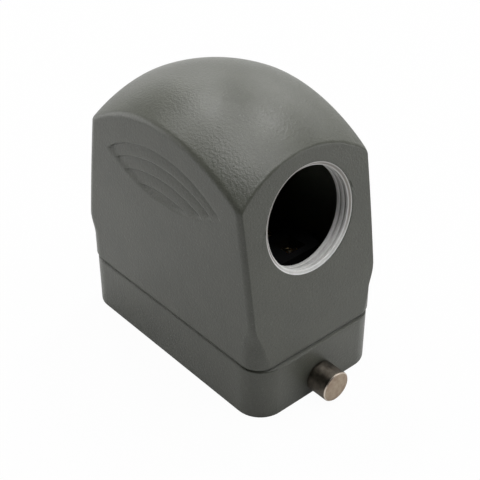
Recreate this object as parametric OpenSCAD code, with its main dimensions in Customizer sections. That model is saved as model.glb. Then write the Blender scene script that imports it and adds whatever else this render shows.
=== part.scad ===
// Hood of a heavy duty rectangular connector, size 10, with its male insert.
// Origin: middle of the skirt's rim. +Z runs up to the dome, +X out of the cable entry.

/* [Skirt] */
// Length over the skirt
hood_l = 73; // [72:0.5:78]
// Width over the skirt and the body
hood_w = 43; // [41:0.5:46]
// Height of the skirt
skirt_h = 15.8; // [14:0.2:18]
// Radius of the skirt's corners
skirt_r = 7.5; // [6:0.5:8.5]
// Wall of the skirt's long sides
skirt_wall = 3.3; // [2.8:0.1:3.5]
// Wall of the skirt's short ends, which hold the pegs
skirt_end_wall = 4; // [3.5:0.1:4.4]
// Height of the groove between skirt and body
groove_h = 0.9; // [0.6:0.1:1.4]
// Depth of the groove
groove_d = 0.9; // [0.5:0.1:1.2]

/* [Body] */
// Step in from the skirt's ends to the body's foot
foot_step = 0.9; // [0.5:0.1:1.4]
// Radius of the body's corners at its foot
foot_r = 6; // [4.5:0.5:7]
// Lean of the two end faces, in degrees
end_draft = 7.8; // [7:0.2:8.4]
// Radius of the upright edges beside the end faces
edge_r = 2; // [1:0.5:3]
// Wall of the long sides and the dome
body_wall = 3.2; // [2.6:0.1:3.4]
// Wall of the end faces
end_wall = 3.6; // [3.2:0.1:4]
// Height of the shoulder where dome and side face meet, at mid-length
shoulder_h = 71.8; // [71:0.2:76]
// Radius of the dome along the body
dome_r = 47.6; // [46.5:0.1:52]
// Radius of the dome across the body
crown_r = 40.7; // [37:0.1:46]
// Rounding of the shoulder
shoulder_r = 1.8; // [1.8:0.1:3]

/* [Grip arcs] */
// Number of arcs on each side
grip_count = 4; // [2:1:5]
// Radius of each arc
grip_r = 36; // [33:0.5:40]
// Distance from the shoulder down to the top arc
grip_drop = 6.6; // [5:0.2:9]
// Distance from one arc to the next
grip_pitch = 3.8; // [3:0.1:4.4]
// Depth of the step at each arc
grip_depth = 0.45; // [0.2:0.05:0.8]
// Height of the whole leaf-shaped field of arcs
leaf_h = 14.9; // [12:0.1:17]
// Radius of the field's lower edge
leaf_r = 39; // [36:0.5:44]

/* [Cable entry] */
// Height of the entry's axis above the rim
entry_h = 51.9; // [50.5:0.1:52.4]
// Outer diameter of the entry's thread
entry_d = 28.3; // [26:0.1:28.6]
// Pitch of the thread
thread_pitch = 1.5875; // [1.4:0.0125:2]
// Width of the bevel round the entry's mouth
entry_bevel = 1; // [0.6:0.1:1.4]

/* [Locking pegs] */
// Diameter of a peg
peg_d = 8.8; // [8:0.1:9.4]
// How far a peg stands out of the skirt
peg_out = 6.3; // [4:0.1:8]
// Height of a peg's axis above the rim
peg_h = 5; // [4.8:0.1:7]
// Bevel of a peg's end
peg_bevel = 0.5; // [0.2:0.1:0.9]
// Diameter of the tail pressed into the skirt
peg_tail_d = 6; // [4.5:0.5:7]

/* [Insert] */
// Height of the insert's seat above the body's foot
seat_rise = 3.3; // [2.8:0.1:4]
// Gap between the flange and the skirt's walls
flange_gap = 0.7; // [0.4:0.1:1]
// Thickness of the flange
flange_t = 2.4; // [2:0.1:3]
// Radius of the flange's corners
flange_r = 3; // [2:0.5:4]
// Distance of the fixing screws from the flange's ends
fixing_edge_x = 3.3; // [3.3:0.05:3.5]
// Distance of the fixing screws from the flange's long sides
fixing_edge_y = 4; // [3.6:0.1:4.2]
// Width of the wiring block
block_w = 25; // [24:0.5:26]
// Height of the wiring block over the flange
block_h = 14.5; // [13:0.1:15.5]
// Room for an earth plate beyond each end of the wiring block
earth_room = 8.8; // [8.6:0.1:9.4]
// Wall between the last terminal and the end of the wiring block
block_end = 2; // [1.6:0.1:2.2]
// Width over the shroud round the pins
shroud_w = 24; // [21:0.5:25]
// Length of the shroud past the last pins
shroud_end = 6; // [5:0.1:6.3]
// Depth of the shroud under the flange
shroud_h = 13.6; // [12:0.1:14.4]
// Wall of the shroud
shroud_wall = 1.8; // [1.4:0.1:2.2]
// Thickness of the web that holds the pins
web_t = 5; // [4:0.1:6]

/* [Contacts] */
// Contacts in each of the two rows
columns = 5; // [3:1:5]
// Distance between the two rows
row_gap = 11.5; // [10.5:0.1:12]
// Diameter of a contact pin
pin_d = 2.5; // [2:0.1:3]
// How far the pin tips stand back inside the shroud
pin_back = 2.5; // [1:0.1:4]
// Width of a terminal
terminal_w = 5.6; // [5.4:0.1:6]
// Height of a terminal
terminal_h = 9.5; // [9:0.1:10]
// Height of a terminal's floor above the flange
terminal_floor = 2.5; // [2:0.1:3]
// Diameter of a terminal's wire hole
wire_d = 3.4; // [3:0.1:3.6]
// Thickness of the plate that presses on the wire
plate_t = 0.5; // [0.3:0.05:0.6]

/* [Screws] */
// Diameter of the terminal screws
clamp_screw_d = 3; // [2.5:0.1:3.4]
// Diameter of the terminal screws' heads
clamp_head_d = 5; // [4.4:0.1:5.2]
// Diameter of the fixing screws and the earth screws
fixing_screw_d = 4; // [3.5:0.1:4.2]
// Diameter of the fixing screws' heads
fixing_head_d = 7; // [6:0.1:7]
// Diameter of the earth screws' heads
earth_head_d = 6.6; // [6:0.1:6.8]
// Height of the fixing and earth screws' heads
fixing_head_h = 2.4; // [2:0.1:3]
// Length of the fixing screws under the head
fixing_screw_l = 11; // [9:0.5:13]
// Diameter of the posts that the fixing screws go into
post_d = 8; // [7:0.1:8.4]
// Height of those posts
post_h = 14; // [13:0.5:18]

/* [Earth plates] */
// Thickness of an earth plate
earth_t = 1.2; // [0.8:0.1:1.4]
// Width of an earth plate
earth_w = 15; // [13:0.5:16]
// Width of an earth plate's tongue
tongue_w = 10; // [8:0.5:12]
// Length of an earth plate's tongue under the flange's top
tongue_l = 13; // [10:0.5:15]
// Thickness of the saddle that presses on the earth wire
saddle_t = 1; // [0.8:0.1:1.4]

/* [Hidden] */
$fn = 96;
ends = [-1, 1];
contacts = 2 * columns;

overcut = 1;        // how far a cut runs past what it cuts
fit_gap = 0.05;     // clearance of a pin or screw shank in moulded plastic
loose_gap = 0.2;    // clearance of a loose piece in its pocket
grip_root = 0.2;    // the steps are cut from this far outside the wall
grip_overlap = 0.3; // each step's floor runs out this far past the next arc
shoulder_lap = 0.02; // the dome's rounding runs this far past the side faces, so it cuts them cleanly

foot_h = skirt_h + groove_h;
foot_l = hood_l - 2 * foot_step;
slope = tan(end_draft);
seat_h = foot_h + seat_rise;
rise = crown_r - sqrt(pow(crown_r, 2) - pow(hood_w / 2, 2));
wheel_h = shoulder_h - dome_r;      // height of the axis that the dome turns about
crown_axis = dome_r + rise - crown_r;
top_h = shoulder_h + rise;
thread_minor_d = entry_d - 0.96 * thread_pitch;
entry_x = foot_l / 2 - slope * (entry_h - foot_h);

cavity_l = hood_l - 2 * skirt_end_wall;
cavity_w = hood_w - 2 * skirt_wall;
flange_l = cavity_l - 2 * flange_gap;
flange_w = cavity_w - 2 * flange_gap;
fixing_x = flange_l / 2 - fixing_edge_x;
fixing_y = flange_w / 2 - fixing_edge_y;
flange_low = seat_h - flange_t;

pocket_w = terminal_w + 2 * loose_gap;
block_l = flange_l - 2 * earth_room;
row_l = block_l - pocket_w - 2 * block_end;
contact_pitch = row_l / (columns - 1);
shroud_l = row_l + 2 * shroud_end;
shroud_low = flange_low - shroud_h;
web_low = seat_h - web_t;
pin_tip = shroud_low + pin_back;
terminal_low = seat_h + terminal_floor;
screw_level = terminal_low + 0.6 * terminal_h;
wire_depth = terminal_h - 1.2;
clamp_head_t = 1.8;
clamp_head_gap = 0.6;               // from the terminal to the head of its screw
plate_w = 2.4;
plate_h = 6;
plate_out = sqrt(pow(wire_d / 2, 2) - pow(plate_w / 2, 2));
slot_w = 0.9;
slot_d = 0.9;

tongue_x = flange_l / 2 - 0.8;      // outer face of an earth plate's tongue
earth_start = block_l / 2 + 0.3;
earth_x = (earth_start + tongue_x - earth_t / 2) / 2;
earth_top = seat_h + earth_t;
saddle_w = 6.2;

// Where contact number i stands: two rows, counted along X
function contact_at(i) = [
    ((i - 1) % columns - (columns - 1) / 2) * contact_pitch,
    (i > columns ? 1 : -1) * row_gap / 2
];

module round_rect(l, w, r) {
    square([l - 2 * r, w], center = true);
    square([l, w - 2 * r], center = true);
    for (x = ends, y = ends)
        translate([x * (l / 2 - r), y * (w / 2 - r)]) circle(r);
}

module slab(low, high, l, w, r) {
    translate([0, 0, low]) linear_extrude(high - low) round_rect(l, w, r);
}

// Half section of the dome: a wide arc with rounded shoulders, at a depth under the surface
module crown_section(depth, half_w, r) {
    arc_r = crown_r - depth;
    shoulder_y = half_w - r;
    shoulder_x = sqrt(pow(arc_r - r, 2) - pow(shoulder_y, 2));
    translate([crown_axis, 0]) {
        intersection() {
            circle(arc_r);
            polygon([[0, 0], 3 * [shoulder_x, -shoulder_y], 3 * [shoulder_x, shoulder_y]]);
        }
        for (side = ends) translate([shoulder_x, side * shoulder_y]) circle(r);
    }
    translate([0, -half_w]) square([crown_axis + shoulder_x, 2 * half_w]);
}

// The dome's section turned about an axis that lies across the body
module dome_wheel(depth, half_w, r) {
    translate([0, 0, wheel_h]) rotate([90, 0, 0])
        rotate_extrude() crown_section(depth, half_w, r);
}

// A long block whose end face leans in by the draft, with rounded upright edges
module drafted_block(half_l, half_w, r) {
    translate([half_l, 0, foot_h]) rotate([0, -end_draft, 0])
        translate([-hood_l, 0, -foot_h])
            linear_extrude(2 * top_h) round_rect(2 * hood_l, 2 * half_w, r);
}

module body_form(side_wall, face_wall, upright_r, corner_r, top_r, low) {
    half_w = hood_w / 2 - side_wall;
    half_l = foot_l / 2 - face_wall;
    intersection() {
        dome_wheel(side_wall, half_w + shoulder_lap, top_r);
        drafted_block(half_l, half_w, upright_r);
        mirror([1, 0, 0]) drafted_block(half_l, half_w, upright_r);
        slab(low, top_h + overcut, 2 * half_l, 2 * half_w, corner_r);
    }
}

// Arc-shaped steps cut in a side face, deepest right under each arc, for the fingers that pull the hood off
module grip_arcs() {
    top = shoulder_h - grip_drop;
    cut = grip_root + grip_depth;
    fall = (grip_pitch + grip_overlap) * cut / grip_depth;
    translate([0, -hood_w / 2 - grip_root, 0]) mirror([0, 1, 0]) rotate([90, 0, 0]) intersection() {
        linear_extrude(cut) intersection() {
            translate([0, top - grip_r]) circle(grip_r);
            translate([0, top - leaf_h + leaf_r]) circle(leaf_r);
        }
        for (i = [0:grip_count - 1])
            translate([0, top - grip_r - i * grip_pitch, 0]) difference() {
                cylinder(r = grip_r, h = cut);
                cylinder(r1 = grip_r - fall, r2 = grip_r, h = cut);
            }
    }
}

// Room for the insert and the wires, less the four posts
module hollow() {
    slab(-overcut, seat_h, cavity_l, cavity_w, skirt_r - skirt_wall);
    difference() {
        body_form(body_wall, end_wall, 1.5, 2.4, 1.5, seat_h - overcut);
        for (x = ends, y = ends)
            translate([x * fixing_x, y * fixing_y, seat_h]) {
                cylinder(d = post_d, h = post_h);
                post_web(x, y);
            }
    }
}

// Fills the corner between a post and the hood's walls
module post_web(x, y) {
    reach = post_d;
    translate([x > 0 ? 0 : -reach, -post_d / 2, 0]) cube([reach, post_d, post_h]);
    translate([-post_d / 2, y > 0 ? 0 : -reach, 0]) cube([post_d, reach, post_h]);
}

// The entry is square to the drafted face, so that a gland seals on it all round
module entry_cut() {
    mouth_r = thread_minor_d / 2 + entry_bevel;
    translate([entry_x, 0, entry_h]) rotate([0, 90 - end_draft, 0]) {
        translate([0, 0, -2 * end_wall]) cylinder(d = thread_minor_d, h = 2 * end_wall + overcut);
        translate([0, 0, -2 * entry_bevel])
            cylinder(r1 = mouth_r - 2 * entry_bevel, r2 = mouth_r + entry_bevel, h = 3 * entry_bevel);
    }
}

module hood() {
    color("#55585a") difference() {
        union() {
            slab(0, skirt_h, hood_l, hood_w, skirt_r);
            slab(skirt_h - overcut, foot_h + overcut, foot_l - 2 * groove_d, hood_w - 2 * groove_d, foot_r);
            body_form(0, 0, edge_r, foot_r, shoulder_r, foot_h);
        }
        grip_arcs();
        mirror([0, 1, 0]) grip_arcs();
        hollow();
        entry_cut();
        for (x = ends) {
            translate([x * hood_l / 2, 0, peg_h]) rotate([0, 90, 0])
                cylinder(d = peg_tail_d, h = 3 * skirt_end_wall, center = true);
            for (y = ends)
                translate([x * fixing_x, y * fixing_y, seat_h])
                    cylinder(d = fixing_screw_d, h = fixing_screw_l);
        }
    }
}

module peg() {
    color("#8c857b") translate([hood_l / 2, 0, peg_h]) rotate([0, 90, 0]) {
        cylinder(d = peg_d, h = peg_out - peg_bevel);
        translate([0, 0, peg_out - peg_bevel])
            cylinder(d1 = peg_d, d2 = peg_d - 2 * peg_bevel, h = peg_bevel);
        translate([0, 0, -skirt_end_wall]) cylinder(d = peg_tail_d, h = skirt_end_wall + peg_bevel);
    }
}

// Turns what is drawn for the row at -Y so that it serves row y
module on_row(y) {
    mirror([0, y > 0 ? 1 : 0, 0]) children();
}

module insert_body() {
    color("#1b1c1e") difference() {
        union() {
            slab(flange_low, seat_h, flange_l, flange_w, flange_r);
            slab(flange_low, seat_h + block_h, block_l, block_w, 1.5);
            slab(shroud_low, seat_h, shroud_l, shroud_w, 3);
        }
        difference() {
            slab(shroud_low - overcut, web_low, shroud_l - 2 * shroud_wall, shroud_w - 2 * shroud_wall, 1.2);
            key_ribs();
        }
        for (i = [1:contacts]) contact_cut(contact_at(i));
        for (x = ends) {
            for (y = ends)
                translate([x * fixing_x, y * fixing_y, flange_low - overcut])
                    cylinder(d = fixing_screw_d + 3 * loose_gap, h = flange_t + 2 * overcut);
            translate([x * earth_x, 0, flange_low - overcut])
                cylinder(d = fixing_screw_d + 2 * loose_gap, h = flange_t + 2 * overcut);
            mirror([x > 0 ? 0 : 1, 0, 0])
                translate([tongue_x - earth_t - loose_gap, -tongue_w / 2 - loose_gap, flange_low - overcut])
                    cube([flange_l / 2, tongue_w + 2 * loose_gap, flange_t + 2 * overcut]);
        }
    }
}

// Two ribs at one end of the shroud, so that the halves mate one way round only
module key_ribs() {
    rib = 1.4;
    for (y = ends)
        translate([shroud_l / 2 - shroud_wall - rib, y * 4 - rib / 2, shroud_low - overcut])
            cube([rib + overcut, rib, shroud_h + overcut]);
}

// Pocket, pin hole and screw hole for one contact
module contact_cut(at) {
    translate([at[0], at[1], 0]) {
        translate([-pocket_w / 2, -pocket_w / 2, terminal_low]) cube([pocket_w, pocket_w, block_h]);
        translate([0, 0, web_low - overcut])
            cylinder(d = pin_d + 2 * fit_gap, h = terminal_low - web_low + 2 * overcut);
        on_row(at[1]) translate([0, 0, screw_level]) rotate([90, 0, 0])
            cylinder(d = clamp_head_d + 3 * loose_gap, h = block_w);
    }
}

module contact_pin(i) {
    at = contact_at(i);
    color("#c9a45c") translate([at[0], at[1], 0]) {
        translate([0, 0, pin_tip + pin_d / 2]) {
            sphere(d = pin_d);
            cylinder(d = pin_d, h = terminal_low + overcut - pin_tip - pin_d / 2);
        }
        difference() {
            translate([-terminal_w / 2, -terminal_w / 2, terminal_low])
                cube([terminal_w, terminal_w, terminal_h]);
            translate([0, 0, terminal_low + terminal_h - wire_depth]) cylinder(d = wire_d, h = terminal_h);
            on_row(at[1]) translate([0, 0, screw_level]) rotate([90, 0, 0])
                cylinder(d = clamp_screw_d, h = terminal_w);
        }
    }
}

// A screw along -Z with its head's underside at z = 0
module slotted_screw(d, l, head_d, head_h) {
    translate([0, 0, -l]) cylinder(d = d, h = l + head_h / 2);
    difference() {
        cylinder(d = head_d, h = head_h);
        translate([-head_d, -slot_w / 2, head_h - slot_d]) cube([2 * head_d, slot_w, head_h]);
    }
}

module terminal_screws() {
    head_from = terminal_w / 2 + clamp_head_gap;
    color("#b9bcbe") for (i = [1:contacts]) {
        at = contact_at(i);
        translate([at[0], at[1], screw_level]) on_row(at[1])
            translate([0, -head_from, 0]) rotate([90, 0, 0])
                slotted_screw(clamp_screw_d, head_from - plate_out, clamp_head_d, clamp_head_t);
    }
}

module wire_clamp_plates() {
    color("#d4d6d8") for (i = [1:contacts]) {
        at = contact_at(i);
        translate([at[0], at[1], screw_level]) on_row(at[1])
            translate([-plate_w / 2, -plate_out, -plate_h / 2]) cube([plate_w, plate_t, plate_h]);
    }
}

// A plate on the flange, folded down into a contact tongue
module earth_plate() {
    color("#cfd1cf") difference() {
        union() {
            translate([earth_start, -earth_w / 2, seat_h])
                cube([tongue_x - earth_start, earth_w, earth_t]);
            translate([tongue_x - earth_t, -tongue_w / 2, seat_h - tongue_l])
                cube([earth_t, tongue_w, tongue_l + earth_t / 2]);
        }
        translate([earth_x, 0, seat_h - overcut]) cylinder(d = fixing_screw_d, h = earth_t + 2 * overcut);
    }
}

module earth_saddles() {
    color("#cfd1cf") for (x = ends) translate([x * earth_x, 0, earth_top]) difference() {
        translate([-saddle_w / 2, -saddle_w / 2, 0]) cube([saddle_w, saddle_w, saddle_t]);
        translate([0, 0, -overcut]) cylinder(d = fixing_screw_d + loose_gap, h = saddle_t + 2 * overcut);
    }
}

module earth_screws() {
    color("#b9bcbe") for (x = ends) translate([x * earth_x, 0, earth_top + saddle_t])
        slotted_screw(fixing_screw_d, saddle_t + earth_t + flange_t - loose_gap, earth_head_d, fixing_head_h);
}

module insert_screws() {
    color("#b9bcbe") for (x = ends, y = ends) translate([x * fixing_x, y * fixing_y, flange_low])
        rotate([180, 0, 0])
            slotted_screw(fixing_screw_d, fixing_screw_l, fixing_head_d, fixing_head_h);
}

hood();
peg();  // peg_entry_end
mirror([1, 0, 0]) peg();  // peg_blind_end
insert_body();
for (i = [1:contacts])
    contact_pin(i);
terminal_screws();
wire_clamp_plates();
earth_plate();  // earth_plate_entry_end
mirror([1, 0, 0]) earth_plate();  // earth_plate_blind_end
earth_saddles();
earth_screws();
insert_screws();
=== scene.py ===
import bpy
import bmesh
import contextlib
import math
import numpy as np
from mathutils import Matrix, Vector


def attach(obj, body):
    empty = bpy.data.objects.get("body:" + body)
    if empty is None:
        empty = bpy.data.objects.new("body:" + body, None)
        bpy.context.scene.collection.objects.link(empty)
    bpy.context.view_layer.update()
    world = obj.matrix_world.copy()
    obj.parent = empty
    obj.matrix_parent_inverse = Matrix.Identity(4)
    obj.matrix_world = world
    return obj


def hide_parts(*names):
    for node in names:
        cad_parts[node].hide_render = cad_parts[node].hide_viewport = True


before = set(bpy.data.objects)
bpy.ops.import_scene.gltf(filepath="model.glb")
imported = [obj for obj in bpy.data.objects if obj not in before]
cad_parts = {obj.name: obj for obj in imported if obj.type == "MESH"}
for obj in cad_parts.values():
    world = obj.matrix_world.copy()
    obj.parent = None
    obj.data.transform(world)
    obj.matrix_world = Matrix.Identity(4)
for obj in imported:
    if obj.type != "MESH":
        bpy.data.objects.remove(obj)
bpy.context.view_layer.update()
mm = 0.001
print("frame loaded:", len(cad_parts), "nodes")


def addObject(name, data):
    thing = bpy.data.objects.new(name, data)
    bpy.context.scene.collection.objects.link(thing)
    return thing


def direction(azimuth, elevation):
    # a unit vector, from degrees round from the front, towards the entry, and degrees up
    a, e = math.radians(azimuth), math.radians(elevation)
    return Vector((math.sin(a) * math.cos(e), -math.cos(a) * math.cos(e), math.sin(e)))


# camera
cameraPlace = {
    "azimuth": 48.73, "elevation": 35.80,
    "distance": 309.35, "lookAt": (2.193, 2.512, 28.857),  # mm
    "lens": 85.66, "sensor": 36, "nearest": 0.01, "farthest": 20,
}


def makeCamera(v):
    data = bpy.data.cameras.new("camera")
    data.lens = v["lens"]
    data.sensor_width = v["sensor"]
    data.clip_start = v["nearest"]
    data.clip_end = v["farthest"]
    camera = addObject("camera", data)
    away = direction(v["azimuth"], v["elevation"])
    camera.location = (Vector(v["lookAt"]) + away * v["distance"]) * mm
    camera.rotation_euler = (-away).to_track_quat("-Z", "Y").to_euler()
    bpy.context.scene.camera = camera


makeCamera(cameraPlace)


# meshes
@contextlib.contextmanager
def editing(data):
    # opens a mesh for editing, then writes it back, shaded smooth
    bm = bmesh.new()
    bm.from_mesh(data)
    yield bm
    bm.to_mesh(data)
    bm.free()
    for p in data.polygons:
        p.use_smooth = True


def meshFrom(name, verts, faces, weld=1e-4):
    # verts in mm; points closer together than weld become one
    data = bpy.data.meshes.new(name)
    data.from_pydata([tuple(v) for v in np.asarray(verts, float) * mm], [],
                     [tuple(int(i) for i in f) for f in faces])
    with editing(data) as bm:
        bmesh.ops.remove_doubles(bm, verts=bm.verts, dist=weld * mm)
        bmesh.ops.dissolve_degenerate(bm, edges=bm.edges, dist=1e-8)
        bmesh.ops.delete(bm, geom=[v for v in bm.verts if not v.link_faces], context="VERTS")
        bmesh.ops.recalc_face_normals(bm, faces=bm.faces)
    return addObject(name, data)


def gridFaces(rows, cols, closed):
    # the faces of a grid of points; closed joins its last column to its first
    faces = []
    for r in range(rows - 1):
        for c in range(cols if closed else cols - 1):
            d = (c + 1) % cols
            faces.append((r * cols + c, r * cols + d, (r + 1) * cols + d, (r + 1) * cols + c))
    return faces


class Shell:
    # gathers grids of points and their faces into one mesh
    def __init__(self):
        self.verts, self.faces, self.total = [], [], 0

    def add(self, points, faces):
        points = np.asarray(points, float).reshape(-1, 3)
        self.verts.append(points)
        self.faces += [tuple(self.total + i for i in f) for f in faces]
        self.total += len(points)

    def grid(self, points, closed=True):
        self.add(points, gridFaces(*np.shape(points)[:2], closed))

    def mesh(self, name):
        return meshFrom(name, np.concatenate(self.verts), self.faces)


def bake(piece):
    # turns the piece with its modifiers into a plain mesh
    graph = bpy.context.evaluated_depsgraph_get()
    graph.update()
    done = bpy.data.meshes.new_from_object(piece.evaluated_get(graph), depsgraph=graph)
    piece.modifiers.clear()
    piece.data = done


def shadeEvenly(piece):
    # normals weighted by face area, so that flat faces stay flat beside their rounded edges
    weighted = piece.modifiers.new("weighted", "WEIGHTED_NORMAL")
    weighted.mode = "FACE_AREA"
    weighted.weight = 50
    weighted.keep_sharp = True
    bake(piece)


def show(piece, material, slot, *nodes):
    # a piece that already has its materials gives None
    if material is not None:
        piece.data.materials.clear()
        piece.data.materials.append(material)
    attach(piece, "root")
    if nodes:
        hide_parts(*nodes)


# node trees
class Nodes:
    # a short way to write a node tree
    def __init__(self, tree):
        self.tree = tree

    def add(self, kind, **settings):
        node = self.tree.nodes.new(kind)
        for key, value in settings.items():
            setattr(node, key, value)
        return node

    def put(self, socket, value):
        # links an output to the socket, or sets the socket's own value
        if hasattr(value, "is_output"):
            self.tree.links.new(value, socket)
        else:
            socket.default_value = value

    def fill(self, node, *values):
        for socket, value in zip(node.inputs, values):
            self.put(socket, value)
        return node

    def math(self, operation, *values):
        return self.fill(self.add("ShaderNodeMath", operation=operation), *values).outputs[0]

    def plus(self, a, b):
        return self.math("ADD", a, b)

    def minus(self, a, b):
        return self.math("SUBTRACT", a, b)

    def times(self, a, b):
        return self.math("MULTIPLY", a, b)

    def ease(self, t):
        return self.times(self.times(t, t), self.minus(3.0, self.times(t, 2.0)))

    def vector(self, operation, *values):
        node = self.fill(self.add("ShaderNodeVectorMath", operation=operation), *values)
        return node.outputs["Value" if operation in ("LENGTH", "DOT_PRODUCT") else "Vector"]

    def split(self, vector):
        return self.fill(self.add("ShaderNodeSeparateXYZ"), vector).outputs

    def join(self, x=0.0, y=0.0, z=0.0):
        return self.fill(self.add("ShaderNodeCombineXYZ"), x, y, z).outputs[0]

    def noise(self, vector, scale, detail=2.0, roughness=0.5):
        node = self.add("ShaderNodeTexNoise")
        self.put(node.inputs["Vector"], vector)
        node.inputs["Scale"].default_value = scale
        node.inputs["Detail"].default_value = detail
        node.inputs["Roughness"].default_value = roughness
        return node.outputs["Fac"]

    def ramp(self, value, start, end):
        # each end is a position and a colour
        node = self.add("ShaderNodeValToRGB")
        self.put(node.inputs["Fac"], value)
        for element, (position, colour) in zip(node.color_ramp.elements, (start, end)):
            element.position = position
            element.color = (*colour, 1)
        return node.outputs["Color"]

    def mix(self, factor, a, b):
        node = self.add("ShaderNodeMix", data_type="RGBA")
        for socket, value in ((0, factor), (6, a), (7, b)):
            self.put(node.inputs[socket], value)
        return node.outputs[2]

    def range(self, value, low, high, toLow, toHigh):
        return self.fill(self.add("ShaderNodeMapRange"), value, low, high, toLow, toHigh).outputs[0]

    def bump(self, height, strength, distance):
        node = self.add("ShaderNodeBump")
        node.inputs["Strength"].default_value = strength
        node.inputs["Distance"].default_value = distance
        self.put(node.inputs["Height"], height)
        return node.outputs["Normal"]

    def position(self):
        return self.split(self.add("GeometryNodeInputPosition").outputs[0])

    def move(self, geometry, offset, how="Offset"):
        node = self.add("GeometryNodeSetPosition")
        self.put(node.inputs["Geometry"], geometry)
        self.put(node.inputs[how], offset)
        return node.outputs[0]

    def end(self, geometry, material):
        # every tree ends in real geometry with its material
        realize = self.fill(self.add("GeometryNodeRealizeInstances"), geometry)
        paint = self.add("GeometryNodeSetMaterial")
        self.put(paint.inputs["Geometry"], realize.outputs[0])
        self.put(paint.inputs["Material"], material)
        self.fill(self.add("NodeGroupOutput"), paint.outputs[0])


socketKinds = {float: "NodeSocketFloat", int: "NodeSocketInt", bpy.types.Material: "NodeSocketMaterial"}


def newTree(name, values):
    # a geometry tree with an input for each named value
    tree = bpy.data.node_groups.new(name, "GeometryNodeTree")
    for way in ("INPUT", "OUTPUT"):
        tree.interface.new_socket("Geometry", in_out=way, socket_type="NodeSocketGeometry")
    for key, value in values.items():
        tree.interface.new_socket(key, in_out="INPUT", socket_type=socketKinds[type(value)])
    n = Nodes(tree)
    return n, n.add("NodeGroupInput").outputs


def applyTree(piece, tree, values):
    modifier = piece.modifiers.new(tree.name, "NODES")
    modifier.node_group = tree
    for socket in tree.interface.items_tree:
        if socket.name in values:
            modifier[socket.identifier] = values[socket.name]
    bake(piece)


def newMaterial(name):
    material = bpy.data.materials.new(name)
    material.use_nodes = True
    n = Nodes(material.node_tree)
    shader = material.node_tree.nodes["Principled BSDF"]
    place = n.add("ShaderNodeTexCoord").outputs["Object"]
    return material, n, shader, place


# materials; grain and cloud are given per metre, depths in metres
powderCoat = {
    "dark": (0.088, 0.092, 0.076), "light": (0.118, 0.122, 0.100), "fleck": (0.17, 0.17, 0.15),
    "roughness": (0.28, 0.38),
    "cloud": 90, "grain": 1500, "fine": 4050, "specks": 2400,
    "depth": 0.00018, "strength": 0.55,
}
metalGrain = {"cloud": 260, "grain": 900, "depth": 0.00004}
metals = {
    # dark and light colour, least and most roughness
    "pegSteel": ((0.09, 0.08, 0.066), (0.24, 0.21, 0.175), (0.36, 0.54)),
    "pegFace": ((0.36, 0.265, 0.20), (0.54, 0.455, 0.35), (0.42, 0.60)),
    "pegBright": ((0.62, 0.53, 0.44), (0.88, 0.78, 0.68), (0.30, 0.46)),
    "platedSteel": ((0.48, 0.48, 0.47), (0.68, 0.68, 0.66), (0.22, 0.38)),
    "springSteel": ((0.40, 0.40, 0.41), (0.60, 0.60, 0.61), (0.28, 0.42)),
    "earthMetal": ((0.52, 0.51, 0.46), (0.72, 0.70, 0.65), (0.26, 0.42)),
    "contactBrass": ((0.60, 0.46, 0.24), (0.80, 0.66, 0.40), (0.20, 0.34)),
}
blackMoulding = {
    "dark": (0.006, 0.006, 0.007), "light": (0.012, 0.012, 0.013), "roughness": (0.5, 0.66),
    "cloud": 160, "grain": 2600, "depth": 0.00005,
}


def makePowderCoat(v):
    material, n, shader, place = newMaterial("powderCoat")
    cloud = n.noise(place, v["cloud"], 3, 0.6)
    grain = n.noise(place, v["grain"], 2, 0.55)
    fine = n.noise(place, v["fine"], 1, 0.5)
    tone = n.plus(n.times(cloud, 0.35), n.times(fine, 0.65))
    base = n.ramp(tone, (0.36, v["dark"]), (0.64, v["light"]))
    speck = n.range(n.noise(place, v["specks"], 0, 0.5), 0.72, 0.80, 0.0, 0.5)
    n.put(shader.inputs["Base Color"], n.mix(speck, base, (*v["fleck"], 1)))
    n.put(shader.inputs["Roughness"], n.range(fine, 0.3, 0.7, *v["roughness"]))
    height = n.plus(grain, n.times(fine, 0.35))
    n.put(shader.inputs["Normal"], n.bump(height, v["strength"], v["depth"]))
    shader.inputs["Specular IOR Level"].default_value = 0.5
    return material


def makeMetal(name, dark, light, roughness):
    material, n, shader, place = newMaterial(name)
    cloud = n.noise(place, metalGrain["cloud"], 4, 0.65)
    fine = n.noise(place, metalGrain["grain"], 2, 0.6)
    tone = n.plus(n.times(cloud, 0.6), n.times(fine, 0.4))
    n.put(shader.inputs["Base Color"], n.ramp(tone, (0.35, dark), (0.65, light)))
    n.put(shader.inputs["Roughness"], n.range(cloud, 0.3, 0.7, *roughness))
    n.put(shader.inputs["Normal"], n.bump(fine, 0.4, metalGrain["depth"]))
    shader.inputs["Metallic"].default_value = 1.0
    return material


def makeMoulding(v):
    material, n, shader, place = newMaterial("blackMoulding")
    cloud = n.noise(place, v["cloud"], 3, 0.6)
    grain = n.noise(place, v["grain"], 2, 0.5)
    n.put(shader.inputs["Base Color"], n.ramp(cloud, (0.35, v["dark"]), (0.65, v["light"])))
    n.put(shader.inputs["Roughness"], n.range(grain, 0.3, 0.7, *v["roughness"]))
    n.put(shader.inputs["Normal"], n.bump(grain, 0.3, v["depth"]))
    shader.inputs["Specular IOR Level"].default_value = 0.3
    return material


coat = makePowderCoat(powderCoat)
metal = {name: makeMetal(name, *look) for name, look in metals.items()}
moulding = makeMoulding(blackMoulding)
print("materials made")


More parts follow.
